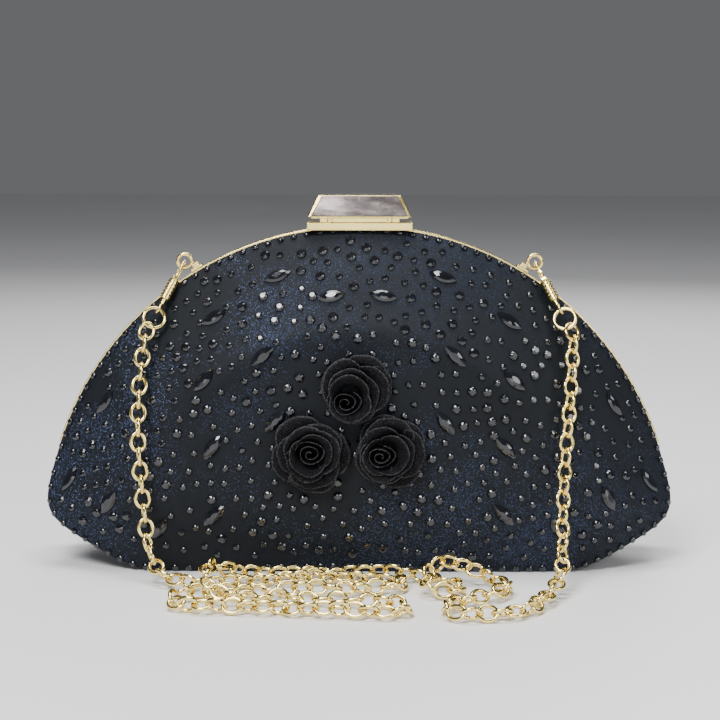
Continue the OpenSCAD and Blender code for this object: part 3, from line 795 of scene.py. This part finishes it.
RIM_STONES = 118
STONE_GAP = 4.6            # between the middles of two scattered stones
ROSE_CLEAR = 11.0          # and from a rose's middle
NAVETTE_CLEAR = 5.4        # and from a pointed stone's middle
SCATTER_TRIES = 16000
LARGE_SHARE = 0.3
LARGE_D, SMALL_D = 3.5, 2.5
NAVETTE_L, NAVETTE_W = 10, 4.5


def round_stone(d, sides=12):
    """Flat-backed round stone with a crown of facets and a flat table."""
    r, rows = d / 2, []
    for radius, z, turn in ((1.0, -0.15, 0), (1.0, 0.30, 0), (0.82, 0.62, 0.5), (0.50, 0.92, 0)):
        for i in range(sides):
            a = 2 * math.pi * (i + turn) / sides
            rows.append((r * radius * math.cos(a), r * radius * math.sin(a), z * r * 0.72))
    faces = [tuple(range(sides - 1, -1, -1)), tuple(range(3 * sides, 4 * sides))]
    for level in range(3):
        for i in range(sides):
            k = (i + 1) % sides
            a, b = level * sides + i, level * sides + k
            if level == 0:
                faces.append((a, b, b + sides, a + sides))
            elif level == 1:
                faces += [(a, b, a + sides), (b, b + sides, a + sides)]
            else:
                faces += [(a, b, b + sides), (a, b + sides, a + sides)]
    return np.array(rows), faces


def navette_stone(length, width, half_sides=9):
    """Pointed-oval stone: girdle, steep crown facets and a raised narrow table."""
    lens_r = (length**2 + width**2) / (4 * width)
    tip = math.asin(length / 2 / lens_r)
    outline = []
    for flip in (1, -1):
        for k in range(half_sides):
            a = -tip + 2 * tip * k / half_sides
            x = -lens_r * math.sin(a) * flip
            outline.append((x, flip * (lens_r * math.cos(a) - lens_r + width / 2)))
    n = len(outline)
    rows = []
    for scale, z in ((1.0, -0.3), (1.0, 0.45), (0.72, 1.15), (0.38, 1.5)):
        rows += [(x * scale, y * scale, z) for x, y in outline]
    faces = [tuple(range(n)), tuple(range(4 * n - 1, 3 * n - 1, -1))]
    for level in range(3):
        for i in range(n):
            k = (i + 1) % n
            a, b = level * n + i, level * n + k
            faces.append((b, a, a + n, b + n))
    return np.array(rows), faces


def clear_of_roses(x, z, margin):
    return all(math.hypot(x - cx, z - cz) > margin for cx, cz in ROSES.values())


def navette_places(draws):
    """Mirrored pairs of pointed stones, each a little out of true."""
    places = []
    for distance, angle, tilt in NAVETTES:
        for side in (-1, 1):
            a = math.radians(angle + draws.uniform(-0.8, 0.8))
            x = side * distance * math.sin(a)
            z = ARC_Z + distance * math.cos(a)
            places.append((x, z, math.radians(-side * tilt + draws.uniform(-6, 6))))
    return places


def round_places(draws, navettes, with_roses):
    """A neat row along the rim, then stones scattered at even distances over the rest."""
    taken = []

    def keep(x, z, large):
        point, s = cover_at(x, z)
        taken.append((point, x, z, large))

    for a in even_rays(RIM_STONES, 0):
        on_base = math.sin(a) < -0.4 and abs(math.cos(a)) < 0.88
        reach = float(outline_reach(a, 0)) - (2.2 if on_base else 0.9)
        keep(reach * math.cos(a), HUB_Z + reach * math.sin(a), False)
    blocked = [np.array([x, z]) for x, z, _ in navettes]
    grid = {}

    def near(point, distance):
        key = tuple(int(c // 6) for c in point)
        for i in (-1, 0, 1):
            for j in (-1, 0, 1):
                for k in (-1, 0, 1):
                    for other in grid.get((key[0] + i, key[1] + j, key[2] + k), ()):
                        if np.linalg.norm(other - point) < distance:
                            return True
        return False

    def note(point):
        grid.setdefault(tuple(int(c // 6) for c in point), []).append(point)

    for point, *_ in taken:
        note(point)
    for _ in range(SCATTER_TRIES):
        x, z = draws.uniform(-112, 112), draws.uniform(0, 120)
        s = math.hypot(x, z - HUB_Z) / float(outline_reach(math.atan2(z - HUB_Z, x), 0))
        if s > 0.955 or (with_roses and not clear_of_roses(x, z, ROSE_CLEAR)):
            continue
        if any(np.linalg.norm(b - (x, z)) < NAVETTE_CLEAR for b in blocked):
            continue
        point = cover_at(x, z)[0]
        if near(point, STONE_GAP):
            continue
        note(point)
        taken.append((point, x, z, draws.random() < LARGE_SHARE))
    return taken


def on_surface(x, z, turn, wobble, draws):
    """Point, and the axes of a stone that lies on the front cover there."""
    n = unit(cover_normal(x, z) + wobble * np.array([draws.uniform(-1, 1) for _ in range(3)]))
    outline = float(outline_reach(math.atan2(z - HUB_Z, x), 0))
    if math.hypot(x, z - HUB_Z) > outline - 1.5:
        n = unit(n + 0.6 * unit([x, 0, z - HUB_Z]))
    along = np.array([math.cos(turn), 0, math.sin(turn)])
    along = unit(along - n * np.dot(along, n))
    return cover_at(x, z)[0], np.array([along, np.cross(n, along), n])


def stone_piece(name, half, stones, template, replaced):
    points, faces = [], []
    shape, shape_faces = template
    for point, axes in stones:
        base = len(points)
        points.extend(point + shape @ axes)
        faces += [tuple(v + base for v in f) for f in shape_faces]
    points = np.array(points)
    if half == "rear":
        points, faces = to_back(points, faces)
    obj = piece(name, points, faces, JET, "jet_stones", smooth=False)
    if replaced:
        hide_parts(replaced)
    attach(obj, half)


def make_stones():
    for half, seed in (("front", 3), ("rear", 11)):
        draws = random.Random(seed)
        navettes = navette_places(draws)
        rounds = round_places(draws, navettes, half == "front")
        pointed = [on_surface(x, z, turn, 0.02, draws) for x, z, turn in navettes]
        navette = navette_stone(NAVETTE_L, NAVETTE_W)
        stone_piece(f"{half}_pointed_stones", half, pointed, navette, f"{half}_navettes")
        for size, large in ((LARGE_D, True), (SMALL_D, False)):
            chosen = [
                on_surface(x, z, draws.uniform(0, math.pi), 0.05, draws)
                for _, x, z, big in rounds
                if big == large
            ]
            name = f"{half}_{'large' if large else 'small'}_stones"
            stone_piece(name, half, chosen, round_stone(size), f"{half}_round_stones" if large else None)


make_stones()

# ---- roses ----


def petal(radius, height, width, base_r, turn, curl, draws):
    """Broad petal as a grid: it rises from its base, then rolls outward to a ruffled edge."""
    columns, rows = 29, 15
    phase = draws.uniform(0, 6)
    lean = draws.uniform(-0.25, 0.25)
    points, edge = [], []
    for j in range(rows):
        v = j / (rows - 1)
        for i in range(columns):
            u = 2 * i / (columns - 1) - 1
            reach = v * (1 - 0.42 * abs(u) ** 2.4 + lean * u * (1 - u * u))
            ruffle = (0.5 * math.sin(4 * u + phase) + 0.22 * math.sin(11 * u + 2 * phase)) * v**2
            r = base_r + (radius - base_r) * reach**1.1 + 0.5 * ruffle
            lift = math.sin(min(1.0, reach * 1.02) * math.pi * (0.5 + 0.2 * curl))
            z = 0.4 + height * lift + 0.7 * ruffle
            a = turn + u * width / 2 + 0.05 * math.sin(3 * v + phase)
            points.append((r * math.cos(a), r * math.sin(a), z))
            edge.append(max(v, 0.97 * abs(u) if v > 0.5 else 0))
    return points, grid_faces(rows, columns), edge


def bud(turns, inner, outer, height, draws):
    """Strip rolled into a loose spiral, tallest at its middle."""
    columns, rows = 170, 10
    start, squeeze = draws.uniform(0, 6), draws.uniform(0.75, 0.9)
    points, edge = [], []
    for j in range(rows):
        v = j / (rows - 1)
        for i in range(columns):
            u = i / (columns - 1)
            a = start + 2 * math.pi * turns * u
            r = inner + (outer - inner) * u**0.85 + 0.7 * v * u + 0.3 * math.sin(3 * a + 1) * u * v
            z = 0.6 + (height - 1.8 * u) * v + 0.35 * math.sin(2.3 * a) * v
            points.append((r * math.cos(a), squeeze * r * math.sin(a), z))
            edge.append(v)
    return points, grid_faces(rows, columns), edge


# radius, height, base radius, number of petals, width of each, curl
PETAL_RINGS = [
    (7.6, 7.4, 3.6, 2, 3.6, 0.2), (9.8, 6.4, 4.6, 3, 2.5, 0.55), (11.6, 4.8, 5.6, 3, 2.3, 0.9),
    (13.0, 3.2, 6.4, 4, 1.75, 1.1),
]


def make_rose(name, place, bud_at, seed):
    """Rolled rose whose bud sits off its middle, as each was glued down."""
    draws = random.Random(seed)
    bud_at = np.array([*bud_at, 0.0])
    layers = [(bud(2.3, 0.6, 4.6, 8.2, draws), bud_at)]
    for radius, height, base_r, count, width, curl in PETAL_RINGS:
        start = draws.uniform(0, 6.28)
        share = (radius - 4.6) / (13.0 - 4.6)
        for k in range(count):
            size = draws.uniform(0.92, 1.1)
            turn = start + 2 * math.pi * k / count + draws.uniform(-0.25, 0.25)
            shape = petal(radius * size, height * size, width, base_r, turn, curl, draws)
            layers.append((shape, bud_at * (1 - share)))
    points, faces, edge = [], [], []
    for (part_points, part_faces, part_edge), shift in layers:
        base = len(points)
        points += [tuple(np.array(p) + shift) for p in part_points]
        edge += part_edge
        faces += [tuple(v + base for v in f) for f in part_faces]
    origin, axes = on_surface(*place, 0.0, 0.0, draws)
    obj = piece(f"{name}_petals", origin + np.array(points) @ axes, faces, CHIFFON, "rose_chiffon")
    # share of the way to each petal's edge, where the chiffon's thread is painted paler as painted sheen
    layer = obj.data.attributes.new("edge", "FLOAT", "POINT")
    layer.data.foreach_set("value", edge)
    thick = obj.modifiers.new("thickness", "SOLIDIFY")
    thick.thickness = 0.22 * MM
    thick.offset = 0
    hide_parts(name)
    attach(obj, "front")


BUDS = {"rose_top": (-3.6, -4.2), "rose_left": (0.4, 0.8), "rose_right": (-3.8, -1.6)}
for number, (rose_name, rose_place) in enumerate(ROSES.items()):
    make_rose(rose_name, rose_place, BUDS[rose_name], 20 + number)

# ---- springs under the ingot ----

POST_X, POST_Y = 10.5, -3.1
SPRING_LOW, SPRING_HIGH = 125.5, 127.7    # the posts' top and the cavity's top
SPRING_R = 1.7
SPRING_WIRE = 0.36
SPRING_TURNS = 2.5


def make_springs():
    """A coil spring on each post, at one fixed length from the post's top to the cavity's top."""
    sides, steps = 8, 80
    low, high = SPRING_LOW + SPRING_WIRE, SPRING_HIGH - SPRING_WIRE
    points, faces = [], []
    for x in (-POST_X, POST_X):
        start = len(points)
        for k in range(steps + 1):
            a = 2 * math.pi * SPRING_TURNS * k / steps
            z = low + (high - low) * k / steps
            for i in range(sides):
                b = 2 * math.pi * i / sides
                r = SPRING_R + SPRING_WIRE / 2 * math.cos(b)
                points.append((
                    x + r * math.cos(a), POST_Y + r * math.sin(a), z + SPRING_WIRE / 2 * math.sin(b)
                ))
        faces += grid_faces(steps + 1, sides, start, closed=True, flip=True)
        faces.append(tuple(range(start, start + sides)))
        faces.append(tuple(range(start + steps * sides, start + (steps + 1) * sides))[::-1])
    obj = piece("clasp_coil_springs", points, faces, STEEL, "steel")
    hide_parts("clasp_springs")
    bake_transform(obj)


make_springs()

# ---- the hard parts keep their CAD shape ----

CAD_LOOKS = {
    FRAME_GOLD: (
        "front_frame", "rear_frame", "hinge_pins", "clasp_base", "catch_base", "clasp_ingot",
        "left_ear", "right_ear", "left_hook", "right_hook", "left_gate", "right_gate",
    ),
    CHAIN_GOLD: ("left_swivel_eye", "right_swivel_eye", "left_ring", "right_ring"),
    MIRROR: ("clasp_crystals",),
    STEEL: ("catch_tongue",),
    BOARD: ("front_shell", "rear_shell"),
}
BEVELLED = {
    "front_frame": 0.25, "rear_frame": 0.25, "clasp_base": 0.2, "catch_base": 0.2, "clasp_ingot": 0.2,
    "clasp_crystals": 0.12, "left_ear": 0.15, "right_ear": 0.15,
}
for material, names in CAD_LOOKS.items():
    for node_name in names:
        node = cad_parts[node_name]
        node.data.materials.clear()
        node.data.materials.append(material)
        node.data.polygons.foreach_set("use_smooth", [True] * len(node.data.polygons))
        node.data.set_sharp_from_angle(angle=math.radians(35))
        if node_name in BEVELLED:
            bevel = node.modifiers.new("edges", "BEVEL")
            bevel.width = BEVELLED[node_name] * MM
            bevel.segments = 2
            bevel.limit_method = "ANGLE"
            bevel.angle_limit = math.radians(40)
